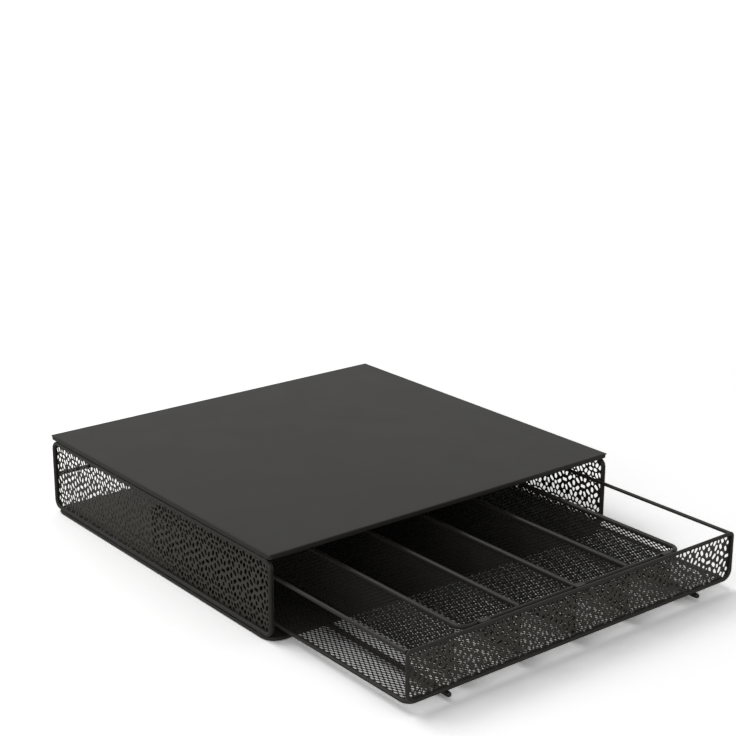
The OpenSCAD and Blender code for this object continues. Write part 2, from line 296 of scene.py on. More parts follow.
# Straight round rod from start to end. Each end is rounded by its own radius
def rod(start, end, radius, startRound, endRound):
    along = (end - start).normalized()
    length = (end - start).length
    side = along.cross(zAxis).normalized()
    top = side.cross(along).normalized()
    bends = [math.pi / 2 * k / wire["roundSteps"] for k in range(wire["roundSteps"] + 1)]
    stations = [
        (startRound * (1 - math.cos(a)), radius - startRound * (1 - math.sin(a))) for a in bends
    ]
    stations += [
        (length - endRound * (1 - math.cos(a)), radius - endRound * (1 - math.sin(a)))
        for a in reversed(bends)
    ]
    points = []
    for distance, r in stations:
        r = max(r, radius * wire["leastShare"])
        points += circleAt(start + along * distance, r, top, side)
    return points, ringSkin(len(stations), wire["sides"])


# Straight wire that fills its node's box from front to back
def rodInBox(node, front=None, noseShare=None):
    low, high, middle = span(node)
    radius = (high.z - low.z) / 2
    endRound = wire["endRound"] * mm
    return rod(
        Vector((middle.x, low.y if front is None else front, middle.z)),
        Vector((middle.x, high.y, middle.z)),
        radius, radius * noseShare if noseShare else endRound, endRound,
    )


# Flat section of points (x, z), pushed along Y
def extruded(section, yLow, yHigh):
    points = [Vector((x, y, z)) for y in (yLow, yHigh) for x, z in section]
    return points, ringSkin(2, len(section))


# Top and base sheets

sheetMetal = {
    "topCorner": 3.0,
    "topTip": 0.7,  # the top plate's corner above its hem
    "baseCorner": 13.0,
    "edgeRadius": 0.8,
    "tipDrop": 0.35,  # how far under the edge the tip has turned into the hem's corner
    "foldThickness": 1.8,
    "plateThickness": 1.0,
    "flatInset": 6.0,
    "flatCorner": 2.0,  # added to the corner there
    "leastCorner": 0.25,
    "cornerSteps": 10,
    "edgeSteps": 4,
    "foldSteps": 8,
}


# Sheet with a hem folded down and back all round, as rings (inset, height, corner) that run from
# the top's flat over the edge, down the hem, round its fold and back under the plate
def hemmedSheet(node, corner, tip):
    low, high, middle = span(node)
    corner, tip = corner * mm, tip * mm
    halfW, halfD = (high.x - low.x) / 2, (high.y - low.y) / 2
    edge = sheetMetal["edgeRadius"] * mm
    fold = sheetMetal["foldThickness"] * mm / 2
    foldZ = low.z - high.z + fold
    plate = sheetMetal["plateThickness"] * mm
    flat, ease = sheetMetal["flatInset"] * mm, sheetMetal["flatCorner"] * mm
    rings = [(flat, 0.0, tip + ease), (edge * 2.2, 0.0, tip)]
    for k in range(sheetMetal["edgeSteps"] + 1):
        a = math.pi / 2 * k / sheetMetal["edgeSteps"]
        rings.append((edge * (1 - math.sin(a)), -edge * (1 - math.cos(a)), tip))
    rings.append((0.0, -edge - sheetMetal["tipDrop"] * mm, corner))
    for k in range(sheetMetal["foldSteps"] + 1):
        a = math.pi * k / sheetMetal["foldSteps"]
        rings.append((fold * (1 - math.cos(a)), foldZ - fold * math.sin(a), corner))
    rings += [(2 * fold, -plate, corner), (flat, -plate, corner + ease)]
    steps = sheetMetal["cornerSteps"]
    points = []
    for inset, z, radius in rings:
        inner = max(radius - inset, sheetMetal["leastCorner"] * mm)
        for x, y in roundedPath(halfW - inset, halfD - inset, inner, steps):
            points.append(Vector((middle.x + x, middle.y + y, high.z + z)))
    return points, ringSkin(len(rings), 4 * (steps + 1), inward=True)


for name, node, corner, tip in (
    ("top_sheet", "top_panel", sheetMetal["topCorner"], sheetMetal["topTip"]),
    ("base_sheet", "base_pan", sheetMetal["baseCorner"], sheetMetal["baseCorner"]),
):
    piece(
        name, meshFrom(hemmedSheet(node, corner, tip)), platformCoat, "housing",
        (node,),
    )
print("sheets made")

# Side frames and back rail

sideFrame = {"corner": 8.0, "sheetCorner": 7.0}

for side in ("left", "right"):
    node = side + "_side_frame"
    piece(
        side + "_frame_wire",
        meshFrom(wireLoop(node, xAxis, sideFrame["corner"], wire["bendSteps"])),
        wireCoat, "housing", (node,),
    )
low, high, middle = span("back_rail")
railEnd = wire["railEndRound"] * mm
backRail = rod(
    Vector((low.x, middle.y, middle.z)), Vector((high.x, middle.y, middle.z)),
    (high.z - low.z) / 2, railEnd, railEnd,
)
piece("back_rail_wire", meshFrom(backRail), wireCoat, "housing", ("back_rail",))


# Rules that repeat a shape

sheetRule = {"cornerCount": 7, "mergeDistance": 0.001}


# A tree with named inputs. Returns it with the sockets that give those inputs
def ruleTree(name, sizes, counts):
    tree = bpy.data.node_groups.new(name, "GeometryNodeTree")
    given = [("Geometry", "Geometry"), ("Material", "Material")]
    given += [(size, "Float") for size in sizes] + [(count, "Int") for count in counts]
    tree.interface.new_socket(name="Geometry", in_out="OUTPUT", socket_type="NodeSocketGeometry")
    for socketName, kind in given:
        tree.interface.new_socket(name=socketName, in_out="INPUT", socket_type="NodeSocket" + kind)
    return tree, addNode(tree, "NodeGroupInput").outputs


# Ends a tree: plain geometry with its material
def addRuleEnd(tree, geometry, material):
    real = addNode(tree, "GeometryNodeRealizeInstances", {0: geometry})
    painted = addNode(tree, "GeometryNodeSetMaterial", {"Geometry": real, "Material": material})
    addNode(tree, "NodeGroupOutput", {0: painted})


# The window inside a sheet's border: its width, height and corner radius, and the sheet's own
# corner. Both corners have one radius above the middle and another below it
def addWindow(tree, get):
    width, height = [
        addNode(
            tree, "ShaderNodeMath", {0: get["Border"], 1: -2.0, 2: get[size]},
            operation="MULTIPLY_ADD",
        )
        for size in ("Sheet Width", "Sheet Height")
    ]
    position = addNode(tree, "GeometryNodeInputPosition")
    up = addNode(tree, "ShaderNodeSeparateXYZ", {0: position}).outputs[1]
    above = addNode(tree, "ShaderNodeMath", {0: up, 1: 0.0}, operation="GREATER_THAN")
    change = addNode(
        tree, "ShaderNodeMath", {0: get["Upper Radius"], 1: get["Lower Radius"]},
        operation="SUBTRACT",
    )
    corner = addNode(
        tree, "ShaderNodeMath", {0: above, 1: change, 2: get["Lower Radius"]},
        operation="MULTIPLY_ADD",
    )
    inner = addNode(tree, "ShaderNodeMath", {0: corner, 1: get["Border"]}, operation="SUBTRACT")
    return width, height, inner, corner


# Keeps only points whose centre is inside the window, or less than slack outside it
def addWindowCull(tree, geometry, width, height, slack):
    position = addNode(tree, "GeometryNodeInputPosition")
    split = addNode(tree, "ShaderNodeSeparateXYZ", {0: position})
    over = {}
    for axis, size in enumerate((width, height)):
        away = addNode(tree, "ShaderNodeMath", {0: split.outputs[axis]}, operation="ABSOLUTE")
        limit = addNode(
            tree, "ShaderNodeMath", {0: size, 1: 0.5, 2: slack * mm}, operation="MULTIPLY_ADD"
        )
        over[axis] = addNode(tree, "ShaderNodeMath", {0: away, 1: limit}, operation="GREATER_THAN")
    gone = addNode(tree, "ShaderNodeMath", over, operation="MAXIMUM")
    return addNode(
        tree, "GeometryNodeDeleteGeometry", {"Geometry": geometry, "Selection": gone},
        domain="POINT",
    )


# Pulls points that lie outside a round-cornered window back to its edge
def addWindowClamp(tree, geometry, width, height, radius):
    position = addNode(tree, "GeometryNodeInputPosition")
    split = addNode(tree, "ShaderNodeSeparateXYZ", {0: position})
    parts = {}
    for axis, size in enumerate((width, height)):
        half = addNode(tree, "ShaderNodeMath", {0: size, 1: 0.5}, operation="MULTIPLY")
        limit = addNode(tree, "ShaderNodeMath", {0: half, 1: radius}, operation="SUBTRACT")
        least = addNode(tree, "ShaderNodeMath", {0: limit, 1: -1.0}, operation="MULTIPLY")
        raised = addNode(
            tree, "ShaderNodeMath", {0: split.outputs[axis], 1: least}, operation="MAXIMUM"
        )
        parts[axis] = addNode(tree, "ShaderNodeMath", {0: raised, 1: limit}, operation="MINIMUM")
    core = addNode(tree, "ShaderNodeCombineXYZ", parts)
    out = addNode(tree, "ShaderNodeVectorMath", {0: position, 1: core}, operation="SUBTRACT")
    far = addNode(tree, "ShaderNodeVectorMath", {0: out}, operation="LENGTH").outputs["Value"]
    length = addNode(tree, "ShaderNodeMath", {0: far, 1: 1e-7}, operation="MAXIMUM")
    share = addNode(tree, "ShaderNodeMath", {0: radius, 1: length}, operation="DIVIDE")
    most = addNode(tree, "ShaderNodeMath", {0: share, 1: 1.0}, operation="MINIMUM")
    scaled = addNode(tree, "ShaderNodeVectorMath", {0: out, "Scale": most}, operation="SCALE")
    place = addNode(tree, "ShaderNodeVectorMath", {0: core, 1: scaled}, operation="ADD")
    return addNode(tree, "GeometryNodeSetPosition", {"Geometry": geometry, "Position": place})


# Lays hole curves in a round-cornered sheet of even thickness, centred on z = 0
def addSheet(tree, get, corner, holes):
    rectangle = addNode(
        tree, "GeometryNodeCurvePrimitiveQuadrilateral",
        {"Width": get["Sheet Width"], "Height": get["Sheet Height"]},
    )
    outline = addNode(
        tree, "GeometryNodeFilletCurve",
        {"Curve": rectangle, "Count": sheetRule["cornerCount"], "Radius": corner,
         "Limit Radius": True},
        mode="POLY",
    )
    curves = addNode(tree, "GeometryNodeJoinGeometry", {0: [outline, holes]})
    flat = addNode(tree, "GeometryNodeFillCurve", {"Curve": curves}, mode="TRIANGLES")
    half = addNode(tree, "ShaderNodeMath", {0: get["Thickness"], 1: 0.5}, operation="MULTIPLY")
    down = addNode(tree, "ShaderNodeMath", {0: half, 1: -1.0}, operation="MULTIPLY")
    lowSide = addNode(tree, "GeometryNodeSetPosition", {
        "Geometry": flat, "Offset": addNode(tree, "ShaderNodeCombineXYZ", {2: down}),
    })
    walls = addNode(
        tree, "GeometryNodeExtrudeMesh",
        {"Mesh": lowSide, "Offset": addNode(tree, "ShaderNodeCombineXYZ", {2: get["Thickness"]}),
         "Offset Scale": 1.0, "Individual": False},
        mode="FACES",
    )
    back = addNode(tree, "GeometryNodeFlipFaces", {"Mesh": lowSide})
    both = addNode(tree, "GeometryNodeJoinGeometry", {0: [walls, back]})
    merged = addNode(tree, "GeometryNodeMergeByDistance", {
        "Geometry": both, "Distance": sheetRule["mergeDistance"] * mm,
    })
    addRuleEnd(tree, merged, get["Material"])


# Runs a rule on some points and returns the plain mesh, put in place by a matrix
def runRule(tree, values, source=None, matrix=None):
    made = bpy.data.objects.new("rule", source or bpy.data.meshes.new("rule_start"))
    bpy.context.scene.collection.objects.link(made)
    modifier = made.modifiers.new("rule", "NODES")
    modifier.node_group = tree
    ids = {
        item.name: item.identifier
        for item in tree.interface.items_tree
        if item.item_type == "SOCKET" and item.in_out == "INPUT"
    }
    for key, value in values.items():
        modifier[ids[key]] = value
    graph = bpy.context.evaluated_depsgraph_get()
    graph.update()
    data = bpy.data.meshes.new_from_object(made.evaluated_get(graph), depsgraph=graph)
    made.modifiers.remove(modifier)
    bpy.data.objects.remove(made)
    if matrix is not None:
        data.transform(matrix)
        if matrix.determinant() < 0:
            data.flip_normals()
    data.shade_flat()
    return data


# Where a flat rule's X, Y and middle go. Its Z follows from the first two
def placed(across, up, middle):
    out = across.cross(up)
    return Matrix([(across[i], up[i], out[i], middle[i]) for i in range(3)] + [(0, 0, 0, 1)])


# Perforated sheets

leafSheet = {
    "repeatWidth": 21.7,
    "border": 0.8,
    "frontRowHeight": 29.4,
    "frontRowShift": -2.6,
    "holePoints": 12,
    "holeGrowth": 0.4,  # added to each leaf's length and width
    "thickness": 0.5,
    "columns": 18,
    "rows": 4,
    "edgeSlack": 0.4,
}
endFrame = {"lowerCorner": 9.0, "upperCorner": 3.8, "sheetLap": 0.2, "extraSteps": 4}

# The leaves in one quarter of the repeat: across, up, turn in degrees, length, width, kind.
# Across, up, length and width are shares of the repeat's width
leafQuarter = (
    (0.0, 0.0, 90, 0.2, 0.135, 1),
    (0.0, 0.267, 90, 0.13, 0.112, 0),
    (0.12, 0.452, 115, 0.214, 0.122, 0),
    (0.0, 0.673, 90, 0.14, 0.09, 1),
    (0.203, 0.654, 122, 0.196, 0.12, 0),
    (0.12, 0.866, 0, 0.186, 0.122, 1),
    (0.5, 0.0, 0, 0.222, 0.112, 2),
    (0.396, 0.304, 110, 0.205, 0.108, 0),
    (0.5, 0.507, 90, 0.13, 0.112, 0),
    (0.373, 0.71, 125, 0.196, 0.112, 0),
    (0.5, 0.866, 0, 0.14, 0.122, 0),
    (0.212, 0.157, 137, 0.222, 0.12, 0),
)
# Roundness and taper of kinds 2, 1 and 0, because the last one joined comes out first.
# Roundness 2 is an ellipse and more is boxier, and taper narrows one end
holeKinds = ((4.6, 0.0), (2.1, 0.0), (3.3, 0.08))


# One hole, a unit long and a unit wide
def addHoleCurve(tree, points, roundness, taper):
    circle = addNode(
        tree, "GeometryNodeCurvePrimitiveCircle", {"Resolution": points, "Radius": 1.0},
        mode="RADIUS",
    )
    position = addNode(tree, "GeometryNodeInputPosition")
    bent = []
    for along in list(addNode(tree, "ShaderNodeSeparateXYZ", {0: position}).outputs)[:2]:
        size = addNode(tree, "ShaderNodeMath", {0: along}, operation="ABSOLUTE")
        power = addNode(tree, "ShaderNodeMath", {0: size, 1: 2.0 / roundness}, operation="POWER")
        sign = addNode(tree, "ShaderNodeMath", {0: along}, operation="SIGN")
        bent.append(addNode(tree, "ShaderNodeMath", {0: power, 1: sign}, operation="MULTIPLY"))
    narrow = addNode(
        tree, "ShaderNodeMath", {0: bent[0], 1: -taper, 2: 1.0}, operation="MULTIPLY_ADD"
    )
    tapered = addNode(tree, "ShaderNodeMath", {0: bent[1], 1: narrow}, operation="MULTIPLY")
    x = addNode(tree, "ShaderNodeMath", {0: bent[0], 1: 0.5}, operation="MULTIPLY")
    y = addNode(tree, "ShaderNodeMath", {0: tapered, 1: 0.5}, operation="MULTIPLY")
    place = addNode(tree, "ShaderNodeCombineXYZ", {0: x, 1: y})
    return addNode(tree, "GeometryNodeSetPosition", {"Geometry": circle, "Position": place})


# Rule for perforated sheet: the leaves of one repeat, laid out on a grid, cut by the window
def leafTree():
    tree, get = ruleTree(
        "leaf_perforations",
        ("Sheet Width", "Sheet Height", "Lower Radius", "Upper Radius", "Border", "Thickness",
         "Repeat Width", "Repeat Height", "Row Shift", "Column Shift"),
        ("Columns", "Rows", "Hole Points"),
    )
    lengths = [
        addNode(tree, "ShaderNodeMath", {0: get[step], 1: get[count]}, operation="MULTIPLY")
        for step, count in (("Repeat Width", "Columns"), ("Repeat Height", "Rows"))
    ]
    lines = [
        addNode(tree, "ShaderNodeMath", {0: get[count], 1: 1.0}, operation="ADD")
        for count in ("Columns", "Rows")
    ]
    grid = addNode(tree, "GeometryNodeMeshGrid", {
        "Size X": lengths[0], "Size Y": lengths[1], "Vertices X": lines[0], "Vertices Y": lines[1],
    })
    cells = addNode(
        tree, "GeometryNodeInstanceOnPoints", {"Points": grid, "Instance": get["Geometry"]}
    )
    spots = addNode(tree, "GeometryNodeRealizeInstances", {0: cells})
    shift = addNode(tree, "ShaderNodeCombineXYZ", {0: get["Column Shift"], 1: get["Row Shift"]})
    moved = addNode(tree, "GeometryNodeSetPosition", {"Geometry": spots, "Offset": shift})
    width, height, inner, corner = addWindow(tree, get)
    near = addWindowCull(tree, moved, width, height, leafSheet["edgeSlack"])
    shapes = addNode(tree, "GeometryNodeGeometryToInstance", {
        0: [addHoleCurve(tree, get["Hole Points"], *kind) for kind in holeKinds],
    })
    reads = {}
    for name, kind in (("turn", "FLOAT"), ("long", "FLOAT"), ("wide", "FLOAT"), ("kind", "INT")):
        reads[name] = addNode(
            tree, "GeometryNodeInputNamedAttribute", {"Name": name}, data_type=kind
        )
    turn = addNode(tree, "ShaderNodeCombineXYZ", {2: reads["turn"]})
    size = addNode(tree, "ShaderNodeCombineXYZ", {0: reads["long"], 1: reads["wide"], 2: 1.0})
    holes = addNode(tree, "GeometryNodeInstanceOnPoints", {
        "Points": near, "Instance": shapes, "Pick Instance": True,
        "Instance Index": reads["kind"], "Rotation": turn, "Scale": size,
    })
    real = addNode(tree, "GeometryNodeRealizeInstances", {0: holes})
    addSheet(tree, get, corner, addWindowClamp(tree, real, width, height, inner))
    return tree


repeatW = leafSheet["repeatWidth"] * mm
leafThickness = leafSheet["thickness"] * mm
leafRule = leafTree()


# The leaves of one whole repeat, mirrored from its quarter, as points that carry their sizes
def leafPoints():
    points = []
    reads = {"turn": [], "long": [], "wide": [], "kind": []}
    for across, up, turn, length, width, kind in leafQuarter:
        for signX in (1,) if across in (0.0, 0.5) else (-1, 1):
            for signY in (1,) if up in (0.0, 0.866) else (-1, 1):
                points.append((signX * across * repeatW, signY * up * repeatW, 0))
                reads["turn"].append(math.radians(signX * signY * turn))
                reads["long"].append(length * repeatW + leafSheet["holeGrowth"] * mm)
                reads["wide"].append(width * repeatW + leafSheet["holeGrowth"] * mm)
                reads["kind"].append(kind)
    data = bpy.data.meshes.new("leaf_points")
    data.from_pydata(points, [], [])
    for name, values in reads.items():
        kind = "INT" if name == "kind" else "FLOAT"
        data.attributes.new(name, kind, "POINT").data.foreach_set("value", values)
    return data


def leafMesh(width, height, lower, upper, border, columnShift, rowShift, matrix):
    return runRule(
        leafRule,
        {
            "Sheet Width": width, "Sheet Height": height,
            "Lower Radius": lower, "Upper Radius": upper,
            "Border": border * mm, "Thickness": leafThickness,
            "Repeat Width": repeatW, "Repeat Height": repeatW * math.sqrt(3),
            "Row Shift": rowShift, "Column Shift": columnShift,
            "Columns": leafSheet["columns"], "Rows": leafSheet["rows"],
            "Hole Points": leafSheet["holePoints"], "Material": leafCoatPaintedPaler,
        },
        leafPoints(), matrix,
    )


for side, sign in (("left", -1), ("right", 1)):
    node = side + "_side_panel"
    low, high, middle = span(node)
    middle.x = (high.x if sign > 0 else low.x) - sign * leafThickness / 2
    corner = sideFrame["sheetCorner"] * mm
    data = leafMesh(
        high.y - low.y, high.z - low.z, corner, corner, 2 * leafSheet["border"], 0.0, 0.0,
        placed(yAxis, zAxis, middle),
    )
    piece(side + "_leaf_sheet", data, leafCoatPaintedPaler, "housing", (node,))

frontLow, frontHigh, frontMiddle = span("front_frame")
backLow, backHigh, backMiddle = span("back_frame")
endSheetLower, endSheetUpper = [
    (endFrame[corner] + endFrame["sheetLap"]) * mm - (frontHigh.y - frontLow.y) / 2
    for corner in ("lowerCorner", "upperCorner")
]
low, high, middle = span("front_panel")
sheetBack = low.y + leafThickness
rowShift = leafSheet["frontRowHeight"] * mm - middle.z
middle.y = low.y + leafThickness / 2
data = leafMesh(
    high.x - low.x, high.z - low.z, endSheetLower, endSheetUpper,
    leafSheet["border"] + endFrame["sheetLap"], leafSheet["frontRowShift"] * mm, rowShift,
    placed(xAxis, zAxis, middle),
)
piece("front_leaf_sheet", data, leafCoatPaintedPaler, "drawer", ("front_panel",))
print("perforated sheets made")

# Drawer wires

drawerLoops = {"floorCorner": 8.0, "ringCorner": 9.8}

for node in ("front_frame", "back_frame"):
    shape = wireLoop(
        node, yAxis, endFrame["lowerCorner"], wire["bendSteps"] + endFrame["extraSteps"],
        endFrame["upperCorner"],
    )
    piece(node + "_wire", meshFrom(shape), wireCoat, "drawer", (node,))
for node, corner in (
    ("floor_rail", drawerLoops["floorCorner"]), ("divider_ring", drawerLoops["ringCorner"]),
):
    shape = wireLoop(node, zAxis, corner, wire["bendSteps"])
    piece(node + "_wire", meshFrom(shape), wireCoat, "drawer", (node,))
for node, front, noseShare in (
    ("left_top_rail", sheetBack, None),
    ("right_top_rail", sheetBack, None),
    ("left_divider_wire", None, None),
    ("middle_divider_wire", None, None),
    ("right_divider_wire", None, None),
    ("left_runner", None, wire["noseShare"]),
    ("right_runner", None, wire["noseShare"]),
):
    shape = rodInBox(node, front, noseShare)
    piece(node + "_rod", meshFrom(shape), wireCoat, "drawer", (node,))
print("wires made")

# Mesh floor, back and divider walls

floorMesh = {
    "longWay": 6.4, "shortWay": 3.54, "strand": 0.9, "border": 0.6, "thickness": 0.6, "corner": 1.2,
}
wallMesh = {"longWay": 5.2, "shortWay": 3.0, "strand": 0.95, "border": 0.6, "corner": 1.2}
# How many strands an opening is shorter by at its ends and at its flanks, on each side
opening = {"endStrands": 0.95, "flankStrands": 0.5, "heightShare": 0.92, "edgeSlack": 0.1}


# Rule for expanded mesh: two staggered grids of six-sided openings
def expandedTree():
    tree, get = ruleTree(
        "expanded_mesh",
        ("Sheet Width", "Sheet Height", "Lower Radius", "Upper Radius", "Border", "Thickness",
         "Long Way", "Short Way", "Strand"),
        ("Columns", "Rows"),
    )
    width, height, inner, corner = addWindow(tree, get)
    grids = []
    for half in (0.0, 0.5):
        sizes, lines, offsets = [], [], []
        for step, count in (("Long Way", "Columns"), ("Short Way", "Rows")):
            sizes.append(
                addNode(tree, "ShaderNodeMath", {0: get[step], 1: get[count]}, operation="MULTIPLY")
            )
            lines.append(
                addNode(tree, "ShaderNodeMath", {0: get[count], 1: 1.0}, operation="ADD")
            )
            offsets.append(
                addNode(tree, "ShaderNodeMath", {0: get[step], 1: half}, operation="MULTIPLY")
            )
        grid = addNode(tree, "GeometryNodeMeshGrid", {
            "Size X": sizes[0], "Size Y": sizes[1], "Vertices X": lines[0], "Vertices Y": lines[1],
        })
        offset = addNode(tree, "ShaderNodeCombineXYZ", {0: offsets[0], 1: offsets[1]})
        grids.append(
            addNode(tree, "GeometryNodeSetPosition", {"Geometry": grid, "Offset": offset})
        )
    points = addNode(tree, "GeometryNodeJoinGeometry", {0: grids})
    near = addWindowCull(tree, points, width, height, opening["edgeSlack"])
    hexagon = addNode(
        tree, "GeometryNodeCurvePrimitiveCircle", {"Resolution": 6, "Radius": 1.0}, mode="RADIUS"
    )
    position = addNode(tree, "GeometryNodeInputPosition")
    x, y, z = addNode(tree, "ShaderNodeSeparateXYZ", {0: position}).outputs
    # strands cross at the openings' pointed ends, and are narrower along their flanks
    halves = []
    for step, strands in (("Long Way", "endStrands"), ("Short Way", "flankStrands")):
        full = addNode(tree, "ShaderNodeMath", {0: get[step], 1: 0.5}, operation="MULTIPLY")
        halves.append(addNode(
            tree, "ShaderNodeMath", {0: get["Strand"], 1: -opening[strands], 2: full},
            operation="MULTIPLY_ADD",
        ))
    low = addNode(tree, "ShaderNodeMath", {0: y, 1: opening["heightShare"]}, operation="MULTIPLY")
    shaped = addNode(tree, "ShaderNodeCombineXYZ", {
        0: addNode(tree, "ShaderNodeMath", {0: x, 1: halves[0]}, operation="MULTIPLY"),
        1: addNode(tree, "ShaderNodeMath", {0: low, 1: halves[1]}, operation="MULTIPLY"),
    })
    hole = addNode(tree, "GeometryNodeSetPosition", {"Geometry": hexagon, "Position": shaped})
    holes = addNode(tree, "GeometryNodeInstanceOnPoints", {"Points": near, "Instance": hole})
    real = addNode(tree, "GeometryNodeRealizeInstances", {0: holes})
    addSheet(tree, get, corner, addWindowClamp(tree, real, width, height, inner))
    return tree


meshRule = expandedTree()


def expandedMesh(kind, width, height, thickness, matrix, lower=None, upper=None):
    longWay, shortWay = kind["longWay"] * mm, kind["shortWay"] * mm
    return runRule(
        meshRule,
        {
            "Sheet Width": width, "Sheet Height": height,
            "Lower Radius": lower or kind["corner"] * mm,
            "Upper Radius": upper or kind["corner"] * mm,
            "Border": kind["border"] * mm, "Thickness": thickness,
            "Long Way": longWay, "Short Way": shortWay, "Strand": kind["strand"] * mm,
            "Columns": 2 * math.ceil(width / 2 / longWay) + 2,
            "Rows": 2 * math.ceil(height / 2 / shortWay) + 2,
            "Material": meshCoat,
        },
        None, matrix,
    )


# The floor is in two halves, which keeps each of them light enough
low, high, middle = span("floor_mesh")
halfWidth = (high.x - low.x) / 2
for side, sign, nodes in (("left", -1, ("floor_mesh",)), ("right", 1, ())):
    middle.x = sign * halfWidth / 2
    data = expandedMesh(
        floorMesh, high.y - low.y, halfWidth, floorMesh["thickness"] * mm,
        placed(yAxis, -xAxis, middle),
    )
    piece("floor_mesh_" + side, data, meshCoat, "drawer", nodes)
low, high, middle = span("back_mesh")
data = expandedMesh(
    wallMesh, high.x - low.x, high.z - low.z, high.y - low.y, placed(xAxis, zAxis, middle),
    endSheetLower, endSheetUpper,
)
piece("back_mesh_sheet", data, meshCoat, "drawer", ("back_mesh",))
for where in ("far_left", "left", "middle", "right", "far_right"):
    node = where + "_divider_mesh"
    low, high, middle = span(node)
    data = expandedMesh(
        wallMesh, high.y - low.y, high.z - low.z, high.x - low.x, placed(yAxis, zAxis, middle)
    )
    piece(where + "_mesh_wall", data, meshCoat, "drawer", (node,))
print("mesh made")

# Tabs between the end frames and the divider ring

tab = {
    "halfWidth": 4.5, "lap": 1.8, "corner": 1.0, "edge": 0.2, "leastCorner": 0.1, "cornerSteps": 5,
}


def roundedPlate(low, high):
    middle = (low + high) / 2
    halfW, halfD = (high.x - low.x) / 2, (high.y - low.y) / 2
    edge, steps = tab["edge"] * mm, tab["cornerSteps"]
    rings = [(edge, low.z), (0.0, low.z + edge), (0.0, high.z - edge), (edge, high.z)]
    points = []
    for inset, z in rings:
        corner = max(tab["corner"] * mm - inset, tab["leastCorner"] * mm)
        for x, y in roundedPath(halfW - inset, halfD - inset, corner, steps):
            points.append(Vector((middle.x + x, middle.y + y, z)))
    return points, ringSkin(len(rings), 4 * (steps + 1))


tabsLow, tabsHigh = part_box("divider_tabs")
ringLow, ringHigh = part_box("divider_ring")
tabHalf, tabLap = tab["halfWidth"] * mm, tab["lap"] * mm
plates = [
    roundedPlate(Vector((x - tabHalf, yLow, tabsLow.z)), Vector((x + tabHalf, yHigh, tabsHigh.z)))
    for x in (tabsLow.x + tabHalf, 0.0, tabsHigh.x - tabHalf)
    for yLow, yHigh in ((frontHigh.y, ringLow.y + tabLap), (ringHigh.y - tabLap, backLow.y))
]
piece(
    "divider_tab_plates", meshFrom(joined(plates)), wireCoat, "drawer",
    ("divider_tabs",),
)

# Clips that hold the runners down

keeper = {"thickness": 0.6, "halfArch": 2.5, "bendRadius": 0.6, "bendSteps": 4}


def bendPoints(x, z, radius, start, end):
    steps = keeper["bendSteps"]
    turns = [math.radians(start + (end - start) * k / steps) for k in range(steps + 1)]
    return [(x + radius * math.cos(a), z + radius * math.sin(a)) for a in turns]


# A strip bent into an arch over the runner, with a flange at each side
def keeperSection(low, high):
    middle = (low.x + high.x) / 2
    inner = keeper["halfArch"] * mm
    thickness, bend = keeper["thickness"] * mm, keeper["bendRadius"] * mm
    outer, smallBend = inner + thickness, bend * 0.5
    roof = high.z - thickness - smallBend
    return [
        (low.x, low.z), (middle - inner, low.z),
        *bendPoints(middle - inner + smallBend, roof, smallBend, 180, 90),
        *bendPoints(middle + inner - smallBend, roof, smallBend, 90, 0),
        (middle + inner, low.z), (high.x, low.z),
        (high.x, low.z + thickness), (middle + outer, low.z + thickness),
        *bendPoints(middle + outer - bend, high.z - bend, bend, 0, 90),
        *bendPoints(middle - outer + bend, high.z - bend, bend, 90, 180),
        (middle - outer, low.z + thickness), (low.x, low.z + thickness),
    ]


for side in ("left", "right"):
    node = side + "_runner_keeper"
    low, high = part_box(node)
    shape = extruded(keeperSection(low, high), low.y, high.y)
    piece(
        side + "_keeper_clip", meshFrom(shape), platformCoat, "housing", (node,)
    )

# Rubber feet

foot = {
    "radius": 6.0, "edgeRound": 0.6, "edgeSteps": 4, "sides": 36,
    "recess": 0.35, "recessInset": 2.2, "rimInset": 1.8, "topInset": 0.15,
}


def footShape(x, y, bottom, top):
    radius, edge = foot["radius"] * mm, foot["edgeRound"] * mm
    rings = [
        (radius - foot["recessInset"] * mm, bottom + foot["recess"] * mm),
        (radius - foot["rimInset"] * mm, bottom),
    ]
    for k in range(foot["edgeSteps"] + 1):
        a = math.pi / 2 * k / foot["edgeSteps"]
        rings.append((radius - edge + edge * math.sin(a), bottom + edge - edge * math.cos(a)))
    rings.append((radius - foot["topInset"] * mm, top))
    points = []
    for r, z in rings:
        for k in range(foot["sides"]):
            a = 2 * math.pi * k / foot["sides"]
            points.append(Vector((x + r * math.cos(a), y + r * math.sin(a), z)))
    return points, ringSkin(len(rings), foot["sides"])


low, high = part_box("rubber_feet")
footRadius = foot["radius"] * mm
feet = [
    footShape(x, y, low.z, high.z)
    for x in (low.x + footRadius, high.x - footRadius)
    for y in (low.y + footRadius, high.y - footRadius)
]
piece("foot_pads", meshFrom(joined(feet)), footRubber, "housing", ("rubber_feet",))
print("small parts made")

# Weld beads

beadForm = {
    "spread": 0.18,  # how much smaller than full size a bead can be
    "seed": 11,
    "lumpScale": 2.6,  # lumps along a bead
    "lumpDepth": 0.3,
    "leastSwell": 0.82,
    "sharpDegrees": 60,
}
spacerWeld = {"size": (7.6, 2.4, 1.5), "endInset": 4.0, "middlePlace": 56.0, "frameRadius": 1.75}
drawerWeld = {
    "size": (3.2, 1.5, 1.3),
    "railSpots": ((-1.7, -0.6), (0.2, -1.75)),  # across and up from the rail's middle
    "railInset": 0.3,
    "dividerOffset": 1.9,
    "dividerInset": 0.5,
    "floorSpots": (-144, -90, -30, 30, 90, 144),
    "wireRadius": 1.5,
    "grooveOut": 0.95,
    "grooveUp": 1.2,
}


